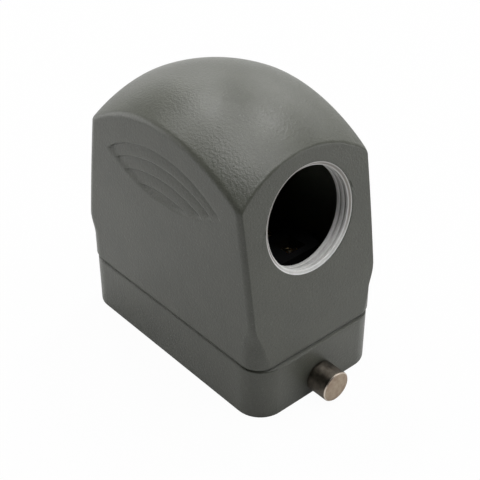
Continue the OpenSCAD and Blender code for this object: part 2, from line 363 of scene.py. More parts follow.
# the hood; all sizes in mm
hoodForm = {
    "halfLength": 36.5, "halfWidth": 21.5,  # skirt
    "skirtTop": 15.8, "skirtCorner": 7.5, "skirtEdge": 0.2, "skirtRound": 0.65,
    "grooveDepth": 0.5, "grooveCorner": 5.7,
    "foot": 16.7, "footHalf": 36.0, "footCorner": 6.0, "footEdge": 0.22,  # where the body starts
    "innerHalf": 32.5, "innerWidth": 18.2, "innerCorner": 4.2, "innerEdge": 0.4, "seat": 20.0,
    "endSlope": 0.1165, "endCurve": 0.000632,  # how the end faces lean in, and how fast that grows
    # the dome is an arc turned about a level cross axis
    "wheelHeight": 24.2, "crownAxis": 13.042, "crownRadius": 40.7,
    "cornerChange": (23.5, 31.0),  # heights between which the upright corners change
    "frontSteps": 88, "endSteps": 52, "cornerSteps": 14, "lowRows": 13, "highRows": 7, "innerRows": 30,
}
skinForms = {
    # the walls taken off; the upright corner, an arc tangent to the long side that runs into the end face
    # with a crease, as (radius, reach) low and high; the rounding from the dome to the sides and to the ends,
    # and its mesh rows; half the square cut out of the mesh round the entry, and the first circle inside it
    "outer": {"wall": 0, "endWall": 0, "low": (6.0, 6.0), "high": (3.3, 2.1),
              "sideRound": 2.2, "endRound": 1.3, "rows": 8, "clear": 15.6, "circle": 15.0},
    "inner": {"wall": 3.2, "endWall": 3.6, "low": (2.4, 2.4), "high": (2.4, 2.4),
              "sideRound": 1.5, "endRound": 1.2, "rows": 4, "clear": 15.0, "circle": 14.8},
}
arcForm = {
    "top": 64.65, "radius": 36.0, "pitch": 3.8, "count": 4,
    "depth": 0.62, "step": 0.50,  # how deep each step is, and how wide its rounded edge
    "floor": 0.45, "hollow": 1.8,  # share of depth left at the next arc, and the power it falls by
    "leafHeight": 14.9, "leafRadius": 39.0, "fade": 1.7,  # the field's lower edge
    # the mesh rows under each arc, closest together over the step
    "rows": (3.4, 2.9, 2.4, 1.9, 1.5, 1.2, 1.0, 0.85, 0.75, 0.62, 0.5, 0.38, 0.25, 0.12, 0.0),
}
entryForm = {
    "height": 51.9, "face": 30.778, "tilt": 7.8,  # where the axis meets the face; its lean in degrees
    "mouth": 14.38, "major": 14.15, "minor": 13.388, "pitch": 1.5875, "depth": 4.45,
    "edge": 0.2, "gap": 0.02,  # the coat's rounded edge, and its distance from the mouth
    "steps": 192, "rows": 96,
}


def endFace(z, inset=0.0):
    h = hoodForm
    d = np.maximum(z - h["foot"], 0)
    return h["footHalf"] - h["endSlope"] * d - h["endCurve"] * d * d - inset


def roundMax(a, b, c, r):
    # the larger of two distances, with a fillet of radius r where they meet at an angle of cosine c
    u, v = a + r, b + r
    arc = np.sqrt(np.maximum(u * u + v * v - 2 * u * v * c, 0) / (1 - c * c)) - r
    return np.where((u > v * c) & (v > u * c), arc, np.maximum(a, b))


def ease(t):
    t = np.clip(t, 0, 1)
    return t * t * (3 - 2 * t)


def crossing(low, high, distance, rounds=45):
    # halves the range until it holds the place where the distance turns positive
    for _ in range(rounds):
        mid = (low + high) / 2
        below = distance(mid) < 0
        low, high = np.where(below, mid, low), np.where(below, high, mid)
    return low


class Skin:
    # one skin of the hood's body: the outer one, or the inner one at a wall's depth
    def __init__(self, form):
        self.form = form
        self.endWall = form["endWall"]
        self.half = hoodForm["halfWidth"] - form["wall"]
        self.crown = hoodForm["crownRadius"] - form["wall"]

    def corner(self, z):
        # radius of the upright corner at height z, and how far back from the end face it starts
        start, stop = hoodForm["cornerChange"]
        low, high = self.form["low"], self.form["high"]
        change = ease((z - start) / (stop - start))
        radius = low[0] + (high[0] - low[0]) * change
        # low down the corner is upright, so the leaning end face cuts it shorter with height
        reach = np.minimum(low[1], low[1] - (endFace(hoodForm["foot"]) - endFace(z)))
        return radius, np.minimum(reach + (high[1] - reach) * change, radius)

    def sides(self, x, y, z):
        # distance from the sides and ends together, from each alone, and the end face's slope
        h = hoodForm
        side = np.abs(y) - self.half
        slope = h["endSlope"] + 2 * h["endCurve"] * np.maximum(z - h["foot"], 0)
        end = (np.abs(x) - endFace(z, self.endWall)) / np.sqrt(1 + slope * slope)
        radius, reach = self.corner(z)
        qx = np.abs(x) - (endFace(z, self.endWall) - reach)
        qy = np.abs(y) - (self.half - radius)
        prism = np.hypot(np.maximum(qx, 0), np.maximum(qy, 0)) + np.minimum(np.maximum(qx, qy), 0) - radius
        return np.maximum(prism, end), side, end, slope

    def dome(self, x, y, z):
        # distance from the dome, and the two radii that it comes from
        rho = np.hypot(x, z - hoodForm["wheelHeight"])
        reach = np.hypot(rho - hoodForm["crownAxis"], y)
        return reach - self.crown, rho, reach

    def domeHeight(self, x, y):
        rho = hoodForm["crownAxis"] + np.sqrt(self.crown ** 2 - y * y)
        return hoodForm["wheelHeight"] + np.sqrt(rho * rho - x * x)

    def meeting(self, x, y, z, side, end, slope):
        # cosine of the angle between the dome and the nearest side or end, and the rounding's radius there
        _, rho, reach = self.dome(x, y, z)
        g = (rho - hoodForm["crownAxis"]) / reach
        lean = np.sqrt(1 + slope * slope)
        toSide = np.abs(y) / reach
        toEnd = (np.abs(x) / rho * g + (z - hoodForm["wheelHeight"]) / rho * g * slope) / lean
        w = ease((side - end) / 3 + 0.5)
        sideRound, endRound = self.form["sideRound"], self.form["endRound"]
        return toEnd + (toSide - toEnd) * w, endRound + (sideRound - endRound) * w

    def whole(self, p):
        x, y, z = p[..., 0], p[..., 1], p[..., 2]
        outer, side, end, slope = self.sides(x, y, z)
        c, r = self.meeting(x, y, z, side, end, slope)
        return roundMax(outer, self.dome(x, y, z)[0], np.clip(c, 0.05, 0.98), r)

    def settle(self, p, rounds=12, step=1e-3):
        # moves points onto the skin along its slope
        for _ in range(rounds):
            f = self.whole(p)
            g = np.stack([self.whole(p + step * e) - self.whole(p - step * e) for e in np.eye(3)], -1)
            g = g / (2 * step)
            p = p - (f / np.maximum((g * g).sum(-1), 0.05))[..., None] * g
        return p


outerSkin = Skin(skinForms["outer"])
innerSkin = Skin(skinForms["inner"])


def columnList():
    # the mesh columns round the hood as (stretch, share along it): stretch 0 is the front, 2 the entry end,
    # 4 the back and 6 the blind end, with the corners between them
    h = hoodForm
    columns = []
    for stretch in range(8):
        if stretch % 2:
            shares = list(np.linspace(0, 1, h["cornerSteps"] + 1)[1:-1])
            shares = [0.06] + shares if stretch in (3, 7) else shares + [0.94]
        elif stretch % 4:
            shares = list(np.linspace(-1, 1, h["endSteps"] + 1))
            shares[1:1], shares[-1:-1] = [-0.988], [0.988]  # close beside the crease
        else:
            shares = list(np.linspace(-1, 1, h["frontSteps"] + 1))
        columns += [(stretch, s) for s in shares]
    return columns


columns = columnList()
stretchOf = np.array([c[0] for c in columns])
shareOf = np.array([c[1] for c in columns])
onSide, onEnd = stretchOf % 4 == 0, stretchOf % 4 == 2
signs = np.array([(1, -1), (1, 1), (-1, 1), (-1, -1)])[stretchOf // 2]
fromSide = np.where(stretchOf % 4 == 1, shareOf, 1 - shareOf)  # share of the corner, from the long side


def byStretch(side, end, corner):
    return np.where(onSide, side, np.where(onEnd, end, corner))


def columnPoints(x, y, z):
    # one point for each column, from its place without signs
    return np.stack(np.broadcast_arrays(signs[:, 0] * x, signs[:, 1] * y, z), -1)


def ring(halfLength, halfWidth, radius, reach, z):
    # once round the hood; the corner's arc starts reach back from the end
    sweep = np.arcsin(np.clip(reach / radius, 0, 1))
    turn = sweep * fromSide
    x = byStretch(shareOf * (halfLength - reach), halfLength, halfLength - reach + radius * np.sin(turn))
    straight = halfWidth - radius
    y = byStretch(halfWidth, shareOf * (straight + radius * np.cos(sweep)), straight + radius * np.cos(turn))
    return columnPoints(x, y, z)


def bodyPoints(z, skin):
    # for each column, the point of the skin's sides at that column's height z
    return ring(endFace(z, skin.endWall), skin.half, *skin.corner(z), z)


def shoulderHeights(skin):
    # for each column, the height where the rounding towards the dome begins
    def pastShoulder(z):
        x, y, z = bodyPoints(z, skin).T
        c, r = skin.meeting(x, y, z, *skin.sides(x, y, z)[1:])
        return skin.dome(x, y, z)[0] + r * (1 - c)

    return crossing(np.full(len(columns), 30.0), np.full(len(columns), 90.0), pastShoulder)


def domeEdge(skin, y):
    # the dome's half length at y, where the rounding to the end face begins
    edge = crossing(0 * y, 0 * y + 40.0, lambda x: x - endFace(skin.domeHeight(x, y), skin.endWall))
    return edge - 0.5 * skin.form["endRound"]


def topPart(skin, shoulder):
    # the rows of the rounding, and the dome itself: two grids that meet edge to edge
    r = skin.form["sideRound"]
    edgeY = skin.crown * (skin.half - r) / (skin.crown - r)
    x = byStretch(shareOf * domeEdge(skin, edgeY), domeEdge(skin, shareOf * edgeY), domeEdge(skin, edgeY))
    y = byStretch(edgeY, shareOf * edgeY, edgeY)
    start = bodyPoints(shoulder, skin)
    goal = columnPoints(x, y, skin.domeHeight(x, y))
    knee = start.copy()
    knee[:, 2] = skin.domeHeight(knee[:, 0], knee[:, 1])
    # halfway along on the long sides, but straight up at the corners, so that no two columns cross
    knee[:, 0] += (goal - start)[:, 0] * np.where(onSide, 0.5 * (1 - shareOf ** 8), 0)
    rows = [start]
    for t in np.linspace(0, 1, skin.form["rows"] + 1)[1:-1]:
        rows.append(skin.settle((1 - t) ** 2 * start + 2 * t * (1 - t) * knee + t * t * goal))
    rows.append(goal)
    y = shareOf[stretchOf == 2][:, None] * edgeY
    x = shareOf[stretchOf == 0] * domeEdge(skin, y)
    y = np.broadcast_to(y, x.shape)
    return np.array(rows), np.stack([x, y, skin.domeHeight(x, y)], -1)


def arcHeight(x, drop):
    a = arcForm
    return a["top"] - a["radius"] - drop + np.sqrt(np.maximum(a["radius"] ** 2 - x * x, 1))


def bodyRows(skin, shoulder):
    # heights of the outer rows: on the long sides they follow the grip arcs
    h, a = hoodForm, arcForm
    bottom, margin = h["foot"] + 0.35, 0.3
    keys = [("low", w) for w in np.linspace(0, 1, h["lowRows"] + 1)[:-1]]
    keys += [("arc", i * a["pitch"] + t) for i in reversed(range(a["count"])) for t in a["rows"]]
    keys += [("high", w) for w in np.linspace(0, 1, h["highRows"] + 1)[1:]]

    def sideHeight(kind, w, x):
        if kind == "low":
            return bottom + w * (arcHeight(x, a["count"] * a["pitch"] + margin) - bottom)
        if kind == "arc":
            return arcHeight(x, w)
        highest = arcHeight(x, -margin)
        return highest + w * (shoulder - highest)

    lastFront = np.nonzero(stretchOf == 0)[0].max()
    rows = []
    for kind, w in keys:
        z = np.full(len(columns), 40.0)
        for _ in range(25):  # a column's x depends on its height
            x = np.abs(shareOf) * (endFace(z, skin.endWall) - skin.corner(z)[1])
            z = np.where(onSide, sideHeight(kind, w, x), z)
        share = (z[lastFront] - bottom) / (shoulder[lastFront] - bottom)
        rows.append(np.where(onSide, z, bottom + share * (shoulder - bottom)))
    return rows


entryTilt = math.radians(entryForm["tilt"])
entryCentre = np.array([entryForm["face"], 0, entryForm["height"]])
entryOut = np.array([math.cos(entryTilt), 0, math.sin(entryTilt)])
entryUp = np.array([-math.sin(entryTilt), 0, math.cos(entryTilt)])


def entryCircle(radius, turns, along):
    # points round the entry's axis, at distances along it from the face
    across = np.cos(turns)[:, None] * np.array([0, 1.0, 0]) + np.sin(turns)[:, None] * entryUp
    return entryCentre + radius * across + along[:, None] * entryOut


def toFace(radius, turns, skin):
    # how far along the entry's axis such points lie on the skin's end face
    along = 0 * turns
    for _ in range(30):
        q = entryCircle(radius, turns, along)
        along = along - (q[:, 0] - endFace(q[:, 2], skin.endWall)) / entryOut[0]
    return along


def openEntry(grid, clear):
    # takes the cells round the entry out of the grid; gives the faces left, and the opening's rim with each
    # point's turn on the circle it is joined to, a quarter for each side, in order from the lower left corner
    n = len(columns)
    side = np.nonzero(stretchOf == 2)[0]
    y = grid[len(grid) // 2, side, 1]
    left, right = side[y < -clear].max(), side[y > clear].min()
    z = grid[:, side[len(side) // 2], 2] - entryForm["height"]
    low = np.nonzero(z < -0.99 * clear)[0].max()
    above = np.nonzero(z > 0.99 * clear)[0]
    high = above.min() if len(above) else len(z) - 1
    faces = []
    for k, face in enumerate(gridFaces(len(grid), n, True)):
        row, column = divmod(k, n)
        if not (low <= row < high and left <= column < right):
            faces.append(face)
    rim = [(low, i) for i in range(left, right)] + [(j, right) for j in range(low, high)]
    rim += [(high, i) for i in range(right, left, -1)] + [(j, left) for j in range(high, low, -1)]
    quarters = [(-135, right - left), (-45, high - low), (45, right - left), (135, high - low)]
    turns = np.radians(np.concatenate([start + 90 * np.arange(k) / k for start, k in quarters]))
    return faces, np.array([grid[j, i] for j, i in rim]), turns


def entryRings(rim, turns, skin, last):
    # over the end face, from the opening's rim to the skin's first circle and on to the last one
    circles = [entryCircle(r, turns, toFace(r, turns, skin)) for r in (skin.form["circle"], last)]
    rings = [rim]
    for t in (0.3, 0.6, 0.85):
        p = rim + (circles[0] - rim) * t
        p[:, 0] = endFace(p[:, 2], skin.endWall)
        rings.append(p)
    return rings + circles


def joinRims(shell, a, turnsA, b, turnsB):
    # a strip of triangles between two rims with different counts
    nextA = np.append(turnsA[1:], turnsA[0] + 2 * math.pi)
    nextB = np.append(turnsB[1:], turnsB[0] + 2 * math.pi)
    faces = []
    i = j = 0
    while i < len(a) or j < len(b):
        here, there = i % len(a), len(a) + j % len(b)
        if j >= len(b) or (i < len(a) and nextA[i] <= nextB[j]):
            i += 1
            faces.append((here, i % len(a), there))
        else:
            j += 1
            faces.append((here, len(a) + j % len(b), there))
    shell.add(np.concatenate([a, b]), faces)


def skirtRings():
    # from the inside of the skirt's wall, round the rim and over the groove to the body's foot
    h = hoodForm
    inside = (h["innerHalf"], h["innerWidth"], h["innerCorner"])
    outside = (h["halfLength"], h["halfWidth"], h["skirtCorner"])
    foot = (h["footHalf"], h["halfWidth"], h["footCorner"])
    groove = (h["footHalf"] - h["grooveDepth"], h["halfWidth"] - h["grooveDepth"], h["grooveCorner"])
    rings = []

    def level(outline, grown, z):
        halfLength, halfWidth, radius = (size + grown for size in outline)
        rings.append(ring(halfLength, halfWidth, radius, radius, z))

    for z in (h["seat"], 16, 10, 5, 1.2):
        level(inside, 0, z)
    for t in np.radians((30, 60, 90)):
        level(inside, h["innerEdge"] * (1 - np.cos(t)), h["innerEdge"] * (1 - np.sin(t)))
    for t in np.radians((0, 22.5, 45, 67.5, 90)):
        level(outside, h["skirtEdge"] * (np.sin(t) - 1), h["skirtEdge"] * (1 - np.cos(t)))
    for z in (2.5, 5, 7.5, 10, 12.5, 14.6):
        level(outside, 0, z)
    # the skirt's rounded shoulder runs on until it is as deep as the groove
    for t in np.linspace(0, math.acos(1 - h["grooveDepth"] / h["skirtRound"]), 6):
        level(outside, h["skirtRound"] * (np.cos(t) - 1), h["skirtTop"] + h["skirtRound"] * (np.sin(t) - 1))
    level((groove[0] + 0.02, *groove[1:]), 0, h["skirtTop"] + 0.1)
    level(groove, 0, h["skirtTop"] + 0.3)
    level(groove, 0, h["foot"] - 0.16)
    level(groove, 0.06, h["foot"] - 0.03)
    for t in np.radians((0, 22.5, 45, 67.5)):
        level(foot, h["footEdge"] * (np.sin(t) - 1), h["foot"] + h["footEdge"] * (1 - np.cos(t)))
    return rings


def makeHood():
    shell = Shell()
    skirt = skirtRings()
    shell.grid(skirt)

    def body(first, heights, skin, shoulder):
        rows = np.array([first] + [bodyPoints(z, skin) for z in heights])
        faces, rim, turns = openEntry(rows, skin.form["clear"])
        shell.add(rows, faces)
        rounding, dome = topPart(skin, shoulder)
        shell.grid(rounding)
        shell.grid(dome, closed=False)
        return rim, turns

    shoulder = shoulderHeights(outerSkin)
    rim, turns = body(skirt[-1], bodyRows(outerSkin, shoulder), outerSkin, shoulder)
    shoulder, seat = shoulderHeights(innerSkin), hoodForm["seat"]
    heights = [seat + w * (shoulder - seat) for w in (0.0, *np.linspace(0.02, 1, hoodForm["innerRows"]))]
    innerRim, innerTurns = body(skirt[0], heights, innerSkin, shoulder)

    # wall round the entry: outer face, rounded edge of the coat, bore, inner face
    edge, bore = entryForm["edge"], entryForm["mouth"] + entryForm["gap"]
    surface, back = (toFace(entryForm["mouth"], turns, skin) for skin in (outerSkin, innerSkin))
    rings = entryRings(rim, turns, outerSkin, bore + edge)
    for t in np.radians((30, 60, 90)):
        rings.append(entryCircle(bore + edge * (1 - math.sin(t)), turns, surface - edge * (1 - math.cos(t))))
    rings.append(entryCircle(bore, turns, surface - 1.5))
    rings.append(entryCircle(bore, turns, back + 0.1))
    shell.grid(rings)
    innerRings = entryRings(innerRim, innerTurns, innerSkin, entryForm["mouth"] + 0.1)
    shell.grid(innerRings)
    joinRims(shell, rings[-1], turns, innerRings[-1], innerTurns)
    return shell.mesh("hood_casting")


hood = makeHood()
print("hood skin:", len(hood.data.polygons), "faces")


def gripTree(values):
    # cuts arc-shaped steps into the long sides: deepest right under each arc, running out towards the next
    n, given = newTree("gripArcs", values)
    x, y, z = n.position()
    square = n.minus(n.times(given["Radius"], given["Radius"]), n.times(x, x))
    crest = n.plus(n.minus(given["Top"], given["Radius"]), n.math("SQRT", n.math("MAXIMUM", square, 0.0)))
    below = n.minus(crest, z)
    index = n.math("FLOOR", n.math("DIVIDE", below, given["Pitch"]))
    local = n.minus(below, n.times(index, given["Pitch"]))
    # over the step's width the surface drops from what the last floor left to the full depth
    drop = n.ease(n.range(local, 0.0, given["Step"], 0.0, 1.0))
    run = n.math("POWER", n.range(local, given["Step"], given["Pitch"], 1.0, 0.0), given["Hollow"])
    floor = n.plus(given["Floor"], n.times(n.minus(1.0, given["Floor"]), run))
    before = n.times(given["Floor"], n.math("GREATER_THAN", index, 0.5))
    depth = n.plus(before, n.times(drop, n.minus(floor, before)))
    inside = n.math("GREATER_THAN", index, -0.5)
    # the field ends in the leaf's edge
    leafZ = n.minus(z, n.plus(n.minus(given["Top"], given["Leaf Height"]), given["Leaf Radius"]))
    fromLeaf = n.minus(given["Leaf Radius"], n.math("SQRT", n.plus(n.times(x, x), n.times(leafZ, leafZ))))
    leaf = n.ease(n.range(fromLeaf, 0.0, given["Fade"], 0.0, 1.0))
    flat = n.math("GREATER_THAN", n.math("ABSOLUTE", y), n.minus(given["Side"], 1e-6))
    cut = n.times(n.times(depth, inside), n.times(leaf, n.times(flat, given["Depth"])))
    offset = n.join(y=n.times(cut, n.times(n.math("SIGN", y), -1.0)))
    n.end(n.move(given["Geometry"], offset), given["Material"])
    return n.tree


def cutGrips(hood):
    a = arcForm
    values = {
        "Top": a["top"] * mm, "Radius": a["radius"] * mm, "Pitch": a["pitch"] * mm, "Depth": a["depth"] * mm,
        "Step": a["step"] * mm, "Fade": a["fade"] * mm, "Leaf Height": a["leafHeight"] * mm,
        "Leaf Radius": a["leafRadius"] * mm, "Side": hoodForm["halfWidth"] * mm,
        "Floor": a["floor"], "Hollow": a["hollow"], "Material": coat,
    }
    applyTree(hood, gripTree(values), values)


cutGrips(hood)
print("grip steps cut")


# posts inside, each filled out to the walls beside it, with a blind hole for its screw
postForm = {
    "x": 28.5, "y": 13.5, "radius": 4.0, "low": 20.0, "high": 34.0, "reachX": 4.5, "reachY": 6.0,
    "bevel": 0.35, "hole": 1.96, "holeDepth": 11.0,
}


def postPoints(sx, sy):
    v = postForm
    r, low, high, hole = v["radius"], v["low"], v["high"], v["hole"]
    turns = np.radians(range(90, -1, -9))
    arc = [(-r * math.cos(t), -r * math.sin(t)) for t in turns]
    outline = np.array([(v["reachX"], -r), *arc, (-r, v["reachY"]), (v["reachX"], v["reachY"])])
    circle = outline / np.hypot(*outline.T)[:, None]
    end, bevel = low + v["holeDepth"], v["bevel"]
    inside = [(0, end), (hole, end - 1), (hole, low + 0.3), (hole + 0.3, low)]
    outside = [(bevel, low), (0, low + bevel), (0, high - 0.8), (0.25, high - 0.2), (0.9, high), (r, high)]
    rows = [(circle * size, z) for size, z in inside]
    rows += [(outline * (1 - inset / r), z) for inset, z in outside]
    points = np.array([np.column_stack([shape, np.full(len(shape), z)]) for shape, z in rows])
    return (points + (v["x"], v["y"], 0)) * (sx, sy, 1)


def makePosts():
    shell = Shell()
    for sx in (-1, 1):
        for sy in (-1, 1):
            shell.grid(postPoints(sx, sy))
    return shell.mesh("hood_posts")


posts = makePosts()
shadeEvenly(hood)
show(hood, coat, "powder_coat", "hood")
show(posts, coat, "powder_coat")
print("hood done:", len(hood.data.polygons), "faces")


# entry thread
threadForm = {
    "downShare": 0.92,  # rows that run down the thread; the others run back behind it
    "crest": 0.5, "root": 0.96,  # from the crest's flat to the root, as shares of half a pitch
    "mouthSlope": 2.0, "endSlope": 1.6,  # how steeply the thread runs out at both ends
    "behind": 0.12, "sink": 0.16,  # its back outside the mouth's radius, its start below the face
}
entryMetal = {
    "dark": (0.88, 0.88, 0.865), "light": (1.0, 1.0, 0.985), "roughness": (0.44, 0.58), "metallic": 0.08,
    "topShade": (0.70, 0.69, 0.67), "topShadeFrom": -10.0, "topShadeTo": 4.0,  # painted shade, darker towards the bore's top, between these heights from its axis
    "root": (0.30, 0.28, 0.25), "rootShadeAt": 13.9, "rootShadeWidth": 0.35,  # painted shade in the thread's roots
    "streak": 700, "patch": 1800, "grain": 1500, "depth": 0.00004,
}


def makeEntryMetal(v):
    material, n, shader, place = newMaterial("entryMetal")
    tone = n.ramp(n.noise(place, v["streak"], 3, 0.6), (0.3, v["dark"]), (0.7, v["light"]))
    # the bore's own directions: its axis leans up by the tilt
    upright = n.add("ShaderNodeVectorRotate", rotation_type="Y_AXIS")
    n.put(upright.inputs["Vector"], n.vector("SUBTRACT", place, tuple(entryCentre * mm)))
    upright.inputs["Angle"].default_value = entryTilt
    away = n.vector("LENGTH", n.vector("MULTIPLY", upright.outputs[0], (0, 1, 1)))
    # painted shade along the thread's roots, by distance from the bore's axis
    off = n.math("ABSOLUTE", n.minus(away, v["rootShadeAt"] * mm))
    root = n.range(off, 0.1 * mm, v["rootShadeWidth"] * mm, 1.0, 0.0)
    # painted shade: the bore's colour darkens towards its top, which faces down and gets less light
    topShadeShare = n.range(n.split(upright.outputs[0])[2], v["topShadeFrom"] * mm, v["topShadeTo"] * mm, 0.0, 1.0)
    tone = n.mix(topShadeShare, tone, (*v["topShade"], 1))
    # the roots' painted shade is fainter low in the bore, where more light reaches
    root = n.times(root, n.range(topShadeShare, 0.0, 0.4, 0.3, 1.0))
    n.put(shader.inputs["Base Color"], n.mix(root, tone, (*v["root"], 1)))
    n.put(shader.inputs["Roughness"], n.range(n.noise(place, v["patch"]), 0.3, 0.7, *v["roughness"]))
    n.put(shader.inputs["Normal"], n.bump(n.noise(place, v["grain"]), 0.3, v["depth"]))
    shader.inputs["Metallic"].default_value = v["metallic"]
    return material


def threadTree(values):
    # a threaded sleeve: a grid wrapped round the entry's axis, its radius following a helix
    n, given = newTree("entryThread", values)
    v, fullTurn = threadForm, 2 * math.pi
    grid = n.add("GeometryNodeMeshGrid")
    n.fill(grid, 1.0, 1.0, n.plus(given["Steps"], 1), given["Rows"])
    x, y, _ = n.position()
    turn = n.times(n.plus(x, 0.5), fullTurn)
    along = n.plus(y, 0.5)
    down = n.math("MINIMUM", n.math("DIVIDE", along, v["downShare"]), 1.0)
    behind = n.range(along, v["downShare"], 1.0, 0.0, 1.0)
    depth = n.times(down, given["Depth"])
    wave = n.minus(n.math("DIVIDE", depth, given["Pitch"]), n.math("DIVIDE", turn, fullTurn))
    # 0 in the middle of a crest, 1 at the root: a flat on the crest, then a V
    swing = n.times(n.math("ABSOLUTE", n.minus(n.math("FRACT", wave), 0.5)), 2.0)
    groove = n.range(swing, v["crest"], v["root"], 0.0, 1.0)
    minor = given["Minor Radius"]
    cut = n.plus(minor, n.times(groove, n.minus(given["Major Radius"], minor)))
    mouth = n.minus(given["Mouth Radius"], n.times(depth, v["mouthSlope"]))
    end = n.minus(minor, n.times(n.minus(given["Depth"], depth), v["endSlope"]))
    radius = n.math("MAXIMUM", n.math("MAXIMUM", cut, mouth), end)
    turned = n.math("GREATER_THAN", behind, 0.001)
    radius = n.plus(radius, n.times(n.minus(given["Backing"], radius), turned))
    # the first fifth of the rows behind make the lower edge, and the others run back up
    back = n.times(n.math("MAXIMUM", n.minus(n.times(behind, 1.25), 0.25), 0.0), given["Depth"])
    depth = n.minus(depth, back)
    # the mouth follows the end face, which isn't quite flat
    s = n.math("SINE", turn)
    bend = n.plus(n.times(s, given["Face Lean"]), n.times(n.times(s, s), given["Face Sag"]))
    outwards = n.minus(n.minus(n.plus(given["Face"], bend), v["sink"] * mm), depth)
    place = n.join(outwards, n.times(radius, n.math("COSINE", turn)), n.times(radius, s))
    stand = n.add("GeometryNodeTransform")
    n.put(stand.inputs["Geometry"], n.move(grid.outputs["Mesh"], place, "Position"))
    stand.inputs["Rotation"].default_value = (0, -entryTilt, 0)
    stand.inputs["Translation"].default_value = tuple(entryCentre * mm)
    merge = n.add("GeometryNodeMergeByDistance")
    n.put(merge.inputs["Geometry"], stand.outputs[0])
    merge.inputs["Distance"].default_value = 1e-6
    shaded = n.fill(n.add("GeometryNodeSetShadeSmooth"), merge.outputs[0])
    n.end(shaded.outputs[0], given["Material"])
    return n.tree


def makeThread():
    v = entryForm
    level, top, bottom = toFace(v["mouth"], np.radians([0.0, 90.0, -90.0]), outerSkin)
    sizes = {
        "Mouth Radius": v["mouth"], "Major Radius": v["major"], "Minor Radius": v["minor"],
        "Pitch": v["pitch"], "Depth": v["depth"], "Backing": v["mouth"] + threadForm["behind"],
        "Face": level, "Face Lean": (top - bottom) / 2, "Face Sag": (top + bottom) / 2 - level,
    }
    bareMetal = makeEntryMetal(entryMetal)
    values = {name: float(size * mm) for name, size in sizes.items()}
    values.update({"Steps": v["steps"], "Rows": v["rows"], "Material": bareMetal})
    thread = addObject("entry_thread", bpy.data.meshes.new("entry_thread"))
    applyTree(thread, threadTree(values), values)
    with editing(thread.data) as bm:
        # joins the sleeve's two open rims and turns its faces outwards
        bmesh.ops.bridge_loops(bm, edges=[e for e in bm.edges if e.is_boundary])
        bmesh.ops.recalc_face_normals(bm, faces=bm.faces)
    show(thread, bareMetal, "entry_metal")
    return thread


thread = makeThread()
print("entry thread cut:", len(thread.data.polygons), "faces")


# pegs
pegForm = {
    "radius": 4.4, "out": 6.55, "height": 5.0, "start": 36.5, "bevel": 0.3, "steps": 96,
    "tail": 3.0, "tailDepth": 4.0,  # the part pressed into the skirt
}


def pegProfile(v):
    # (radius, distance out from the skirt), from the tail's middle to the middle of the face
    r, b, tail, deep, out = v["radius"], v["bevel"], v["tail"], -v["tailDepth"], v["out"]
    pressed = [(0, deep), (tail - 0.3, deep), (tail, deep + 0.3), (tail, -0.6), (tail + 0.1, -0.35),
               (r - 0.35, -0.35)]
    collar = [(r - 0.3, 0.0), (r - 0.22, 0.1), (r, 0.3), (r, 1.0), (r, 2.5), (r, 4.2)]
    bevel = [(r, out - b - 0.06), (r - 0.03, out - b + 0.02), (r - b + 0.06, out - 0.05), (r - b - 0.02, out)]
    face = [(r - 1.2, out), (1.2, out - 0.02), (0.5, out - 0.02), (0, out - 0.02)]
    return pressed + collar + bevel + face


def makePeg(name, side, node):
    v = pegForm
    turns = 2 * math.pi * np.arange(v["steps"]) / v["steps"]
    shell = Shell()
    shell.grid([np.column_stack([np.full(v["steps"], side * (v["start"] + out)), r * np.cos(turns),
                                 r * np.sin(turns) + v["height"]]) for r, out in pegProfile(v)])
    piece = shell.mesh(name)
    for material in ("pegSteel", "pegBright", "pegFace"):
        piece.data.materials.append(metal[material])
    edge = v["radius"] - v["bevel"]
    for p in piece.data.polygons:
        out = abs(p.center.x) / mm - v["start"]
        radius = math.hypot(p.center.y / mm, p.center.z / mm - v["height"])
        if out > v["out"] - v["bevel"]:
            p.material_index = 2 if radius < edge else 1
    shadeEvenly(piece)
    show(piece, None, "peg_steel", node)


makePeg("peg_entry", 1, "peg_entry_end")
makePeg("peg_blind", -1, "peg_blind_end")
print("pegs turned")


# insert
def dressed(node, name, material, slot, width, segments=2):
    # a copy of a CAD node with moulded or broken edges
    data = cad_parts[node].data.copy()
    with editing(data) as bm:
        bmesh.ops.remove_doubles(bm, verts=bm.verts, dist=1e-6)
        bmesh.ops.dissolve_limit(bm, angle_limit=math.radians(0.5), verts=bm.verts, edges=bm.edges)
    piece = addObject(name, data)
    bevel = piece.modifiers.new("edges", "BEVEL")
    bevel.width = width * mm
    bevel.segments = segments
    bevel.limit_method = "ANGLE"
    bevel.angle_limit = math.radians(30)
    bevel.use_clamp_overlap = True
    bevel.harden_normals = False
    shadeEvenly(piece)
    show(piece, material, slot, node)


dressed("insert_body", "insert_moulding", moulding, "black_moulding", 0.18)
for end in ("entry", "blind"):
    dressed("earth_plate_%s_end" % end, "earth_plate_%s" % end, metal["earthMetal"], "earth_metal", 0.12)
dressed("earth_saddles", "earth_clamps", metal["earthMetal"], "earth_metal", 0.1)
dressed("wire_clamp_plates", "wire_plates", metal["springSteel"], "spring_steel", 0.06, 1)
for i in range(1, 11):
    dressed("contact_pin_%d" % i, "contact_%d" % i, metal["contactBrass"], "contact_brass", 0.12)
print("insert dressed")


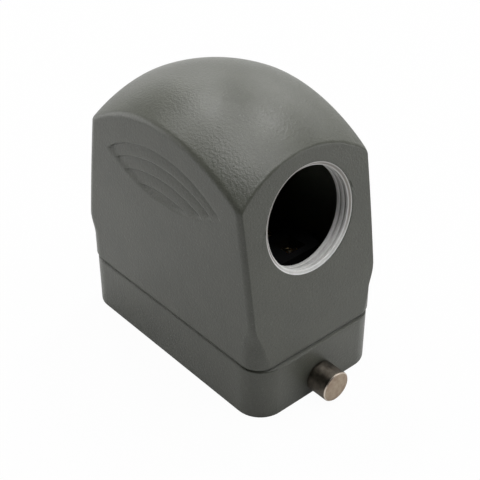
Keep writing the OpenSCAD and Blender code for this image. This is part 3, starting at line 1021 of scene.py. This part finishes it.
# screws
screwForms = {
    # mm; each kind stands in rows, leaning by tilt degrees from upright towards the outside
    "terminal_screws": {"thread": 3.0, "pitch": 0.5, "length": 2.196, "head": 5.0, "headHeight": 1.8,
                        "columns": 5, "spacing": 9.0, "rows": 2, "apart": 18.3, "level": 28.2, "tilt": 90},
    "earth_screws": {"thread": 4.0, "pitch": 0.7, "length": 4.4, "head": 6.6, "headHeight": 2.4,
                     "columns": 2, "spacing": 53.7, "rows": 1, "apart": 0.0, "level": 22.2, "tilt": 0},
    "insert_screws": {"thread": 4.0, "pitch": 0.7, "length": 11.0, "head": 7.0, "headHeight": 2.4,
                      "columns": 2, "spacing": 57.0, "rows": 2, "apart": 27.0, "level": 17.6, "tilt": 180},
}
screwDetail = {
    "slotWidth": 0.9, "slotDepth": 0.9, "slotSpread": 8,  # degrees that a slot may be turned either way
    "threadDepth": 0.54, "rowsPerPitch": 8, "point": 0.5, "neck": 0.3, "headRound": 0.45, "steps": 40,
}


def makeScrew(name, v):
    # a slotted screw with a rolled thread, its head's underside at height 0
    d = screwDetail
    steps, r, head, top = d["steps"], v["thread"] / 2, v["head"] / 2, v["headHeight"]
    low, deep, edge = -v["length"], d["threadDepth"] * v["pitch"], d["headRound"]
    turn = 2 * math.pi * np.arange(steps) / steps
    rows = [(0, low), (r - deep - 0.1, low)]
    for z in np.linspace(low + 0.1, -d["neck"], int((-d["neck"] - low) / v["pitch"] * d["rowsPerPitch"]) + 2):
        wave = np.abs(2 * ((z / v["pitch"] - turn / (2 * math.pi)) % 1) - 1)
        fade = min((z - low) / d["point"], 1.0)  # the tip is cut back to the thread's root
        rows.append((r - deep + deep * fade * np.clip(1.25 * wave, 0, 1), z))
    rows += [(r - 0.05, -0.12), (r + 0.1, 0), (head - 0.15, 0), (head, 0.15), (head, top - edge)]
    for a in np.radians((22.5, 45, 67.5, 90)):
        rows.append((head - edge * (1 - math.cos(a)), top - edge * (1 - math.sin(a))))
    rows += [(head * 0.5, top), (0, top)]
    points = [np.column_stack([r * np.cos(turn), r * np.sin(turn), np.full(steps, z)]) for r, z in rows]
    shell = Shell()
    shell.grid(points)
    screw = shell.mesh(name)
    half, floor = d["slotWidth"] / 2, top - d["slotDepth"]
    corners = [(x, y, z) for z in (floor, top + 1) for y in (-half, half) for x in (-v["head"], v["head"])]
    cutter = meshFrom("slot_cutter", corners,
                      [(0, 1, 3, 2), (4, 6, 7, 5), (0, 4, 5, 1), (2, 3, 7, 6), (0, 2, 6, 4), (1, 5, 7, 3)])
    slot = screw.modifiers.new("slot", "BOOLEAN")
    slot.operation = "DIFFERENCE"
    slot.solver = "EXACT"
    slot.object = cutter
    bake(screw)
    bpy.data.objects.remove(cutter)
    screw.data.set_sharp_from_angle(angle=math.radians(50))
    return screw


def screwValues(v):
    return {
        "Columns": v["columns"], "Rows": v["rows"], "Spacing": v["spacing"] * mm, "Apart": v["apart"] * mm,
        "Level": v["level"] * mm, "Tilt": math.radians(v["tilt"]),
        "Slot Spread": math.radians(screwDetail["slotSpread"]), "Material": metal["platedSteel"],
    }


def screwRowsTree(values):
    # stands the screw it is given at each point of a level grid
    n, given = newTree("screwRows", values)
    grid = n.add("GeometryNodeMeshGrid")
    length = n.times(given["Spacing"], n.minus(given["Columns"], 1))
    n.fill(grid, length, given["Apart"], given["Columns"], given["Rows"])
    lean = n.times(given["Tilt"], n.minus(0.0, n.math("SIGN", n.position()[1])))
    stand = n.add("GeometryNodeInstanceOnPoints")
    n.put(stand.inputs["Points"], n.move(grid.outputs["Mesh"], n.join(z=given["Level"])))
    n.put(stand.inputs["Instance"], given["Geometry"])
    n.put(stand.inputs["Rotation"], n.join(x=lean))
    random = n.add("FunctionNodeRandomValue", data_type="FLOAT")
    floats = [s for s in random.inputs if s.type == "VALUE"]
    n.put(floats[0], n.minus(0.0, given["Slot Spread"]))
    n.put(floats[1], given["Slot Spread"])
    about = [s for s in random.outputs if s.type == "VALUE"][0]
    turn = n.add("GeometryNodeRotateInstances")
    n.put(turn.inputs["Instances"], stand.outputs[0])
    n.put(turn.inputs["Rotation"], n.join(z=about))
    n.end(turn.outputs[0], given["Material"])
    return n.tree


screwRows = screwRowsTree(screwValues(screwForms["terminal_screws"]))
for node, form in screwForms.items():
    screws = makeScrew(node.replace("screws", "screw_row"), form)
    applyTree(screws, screwRows, screwValues(form))
    show(screws, metal["platedSteel"], "plated_steel", node)
    print(node, "made:", len(screws.data.polygons), "faces")


# floor, backdrop and lights
stageForm = {
    "floorSize": 3.0, "floorTone": 0.77,
    "floorMirrored": 0.22,  # share of white in reflections
    "floorGlow": 0.97,  # share of even white on the floor, so that shadows stay faint
    "ambient": 0.005,
    # a light band: strength at the horizon, degrees round, sine of the height where it has faded, and the
    # cosines from its middle where it starts and where it is full
    "band": 1.2, "bandAt": 224, "bandHeight": 0.5, "bandEdges": (0.5, 0.95),
    "aim": (0, 0, 0.04),
    # degrees round from the front, degrees up, metres off, width and height in metres, watts
    "lights": {
        "overhead": (0, 88, 0.45, 0.2, 0.2, 0.52),
        "highRight": (135, 58, 0.9, 0.32, 0.32, 1.12),
        "right": (92, 70, 0.9, 0.32, 0.32, 1.12),
        "rearRight": (194, 64, 0.9, 0.12, 0.12, 1.15),
        "rearMiddle": (200, 54, 0.9, 0.12, 0.12, 0.5),
        "rearLeft": (248, 57, 0.9, 0.12, 0.12, 1.25),
        "highLeft": (288, 56, 0.9, 0.32, 0.32, 1.12),
        "backLeft": (240, 32, 0.9, 0.32, 0.32, 0.75),
        "back": (210, 32, 0.9, 0.32, 0.32, 0.8),
        "backRight": (184, 32, 0.9, 0.32, 0.32, 0.6),
        "farLeft": (256, 14, 0.9, 0.32, 0.32, 0.18),
        "lowLeft": (302, 9, 0.5, 0.4, 0.3, 0.78),
        "lowRight": (128, 10, 0.45, 0.2, 0.2, 0.30),
    },
}


def whiteToCamera(n, tone, strength, mirrored):
    # strength of an even white that the camera sees, and less of it in reflections
    path = n.add("ShaderNodeLightPath").outputs
    seen = n.range(path["Is Camera Ray"], 0.0, 1.0, tone, strength)
    return n.plus(seen, n.times(path["Is Glossy Ray"], mirrored))


def makeFloor(v):
    bm = bmesh.new()
    bmesh.ops.create_grid(bm, x_segments=8, y_segments=8, size=v["floorSize"])
    data = bpy.data.meshes.new("floor")
    bm.to_mesh(data)
    bm.free()
    material, n, shader, _ = newMaterial("floorPaint")
    shader.inputs["Base Color"].default_value = (v["floorTone"],) * 3 + (1,)
    shader.inputs["Roughness"].default_value = 0.9
    shader.inputs["Specular IOR Level"].default_value = 0.1
    glow = n.add("ShaderNodeEmission")
    share = whiteToCamera(n, 0.0, v["floorGlow"], v["floorMirrored"])
    mix = n.fill(n.add("ShaderNodeMixShader"), share, shader.outputs[0], glow.outputs[0])
    n.put(material.node_tree.nodes["Material Output"].inputs["Surface"], mix.outputs[0])
    data.materials.append(material)
    addObject("floor", data)


def areaLight(name, azimuth, elevation, distance, width, height, power):
    data = bpy.data.lights.new(name, "AREA")
    data.shape = "RECTANGLE"
    data.size = width
    data.size_y = height
    data.energy = power
    light = addObject(name, data)
    away = direction(azimuth, elevation)
    light.location = Vector(stageForm["aim"]) + away * distance
    light.rotation_euler = away.to_track_quat("Z", "Y").to_euler()


def makeWorld(v):
    world = bpy.data.worlds.new("studio")
    bpy.context.scene.world = world
    world.use_nodes = True
    n = Nodes(world.node_tree)
    backdrop = world.node_tree.nodes["Background"]
    backdrop.inputs["Color"].default_value = (1, 1, 1, 1)
    # reflections see a light band low behind the piece, which gives the dome its pale rim
    look = n.add("ShaderNodeTexCoord").outputs["Generated"]
    facing = n.vector("DOT_PRODUCT", look, tuple(direction(v["bandAt"], 0)))
    rise = n.range(n.split(look)[2], 0.0, v["bandHeight"], v["band"], 0.0)
    band = n.times(rise, n.range(facing, *v["bandEdges"], 0.0, 1.0))
    n.put(backdrop.inputs["Strength"], whiteToCamera(n, v["ambient"], 1.0, band))
    bpy.context.scene.view_settings.view_transform = "Standard"
    bpy.context.scene.view_settings.look = "None"


makeFloor(stageForm)
for name, place in stageForm["lights"].items():
    areaLight(name, *place)
makeWorld(stageForm)
print("stage lit")
